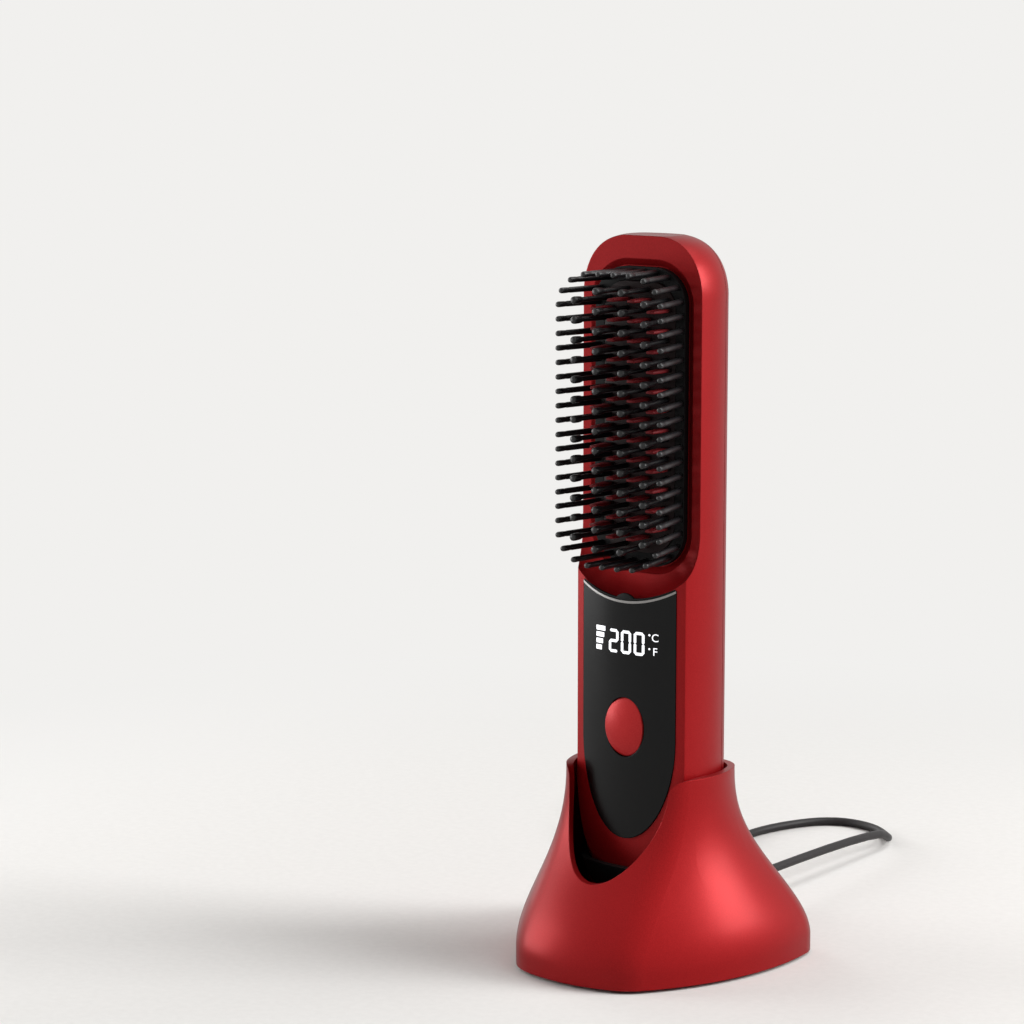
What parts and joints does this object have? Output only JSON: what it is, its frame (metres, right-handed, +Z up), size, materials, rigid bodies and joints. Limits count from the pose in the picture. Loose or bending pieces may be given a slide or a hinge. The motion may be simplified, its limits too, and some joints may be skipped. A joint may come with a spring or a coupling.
{
  "type": "hair straightening brush",
  "caption": "Cordless heated straightening brush that stands in its flared charging dock, with a display, a power button and a USB lead.",
  "frame": {"origin": "centre of the dock's base on the surface that it stands on", "axes": "+Z up along the brush, -Y to the front with the bristles, the panel and the dock's notch, +X to the right seen from the front"},
  "size_m": [0.1642, 0.2349, 0.241],
  "materials": {
    "red_shell": "satin pearl paint",
    "red_button": "satin",
    "panel_black": "polished",
    "trim_silver": "bright",
    "display_dark": "gloss",
    "bristle_black": "satin, heat resistant",
    "plate_red": "ceramic coat, matt",
    "heater_ceramic": "matt",
    "board_green": "laminate",
    "connector_steel": "plain",
    "cell_wrap": "shrink wrap over steel",
    "inner_black": "moulded",
    "base_black": "moulded",
    "foot_rubber": "matt",
    "ballast_iron": "raw",
    "cable_black": "satin jacket",
    "plug_black": "satin, moulded on"
  },
  "bodies": {
    "dock": {"dock_shell": "red_shell", "dock_base_plate": "base_black", "rubber_feet": "foot_rubber", "dock_screws": "connector_steel", "dock_ballast": "ballast_iron", "dock_cradle": "base_black", "dock_contact_plug": "inner_black", "contact_board": "board_green", "dock_usb_socket": "connector_steel", "dock_board": "board_green", "usb_c_tongue": "connector_steel", "usb_c_plug": "plug_black", "cable_tube": "cable_black", "cable_coil": "cable_black", "usb_a_plug": "plug_black", "usb_a_shell": "connector_steel"},
    "brush": {"front_housing": "red_shell", "back_cover": "red_shell", "control_panel": "panel_black", "panel_trim": "trim_silver", "display_module": "display_dark", "main_board": "board_green", "board_screws": "connector_steel", "tact_switch": "inner_black", "battery_cells": "cell_wrap", "battery_holder": "inner_black", "brush_usb_socket": "connector_steel", "charge_board": "board_green", "comb_frame": "bristle_black", "inner_bristles": "bristle_black", "ptc_heaters": "heater_ceramic", "heating_plate": "plate_red", "thermal_cutout": "inner_black"},
    "button": {"power_button": "red_button"}
  },
  "joints": [
    {"name": "brush_lift", "type": "slide", "parent": "dock", "child": "brush", "axis": [0, 0, 1], "range_m": [0, 0.059]},
    {"name": "power_button_press", "type": "slide", "parent": "brush", "child": "button", "axis": [0, 1, 0], "range_m": [0, 0.0008], "stiffness_N_per_m": 1500}
  ]
}
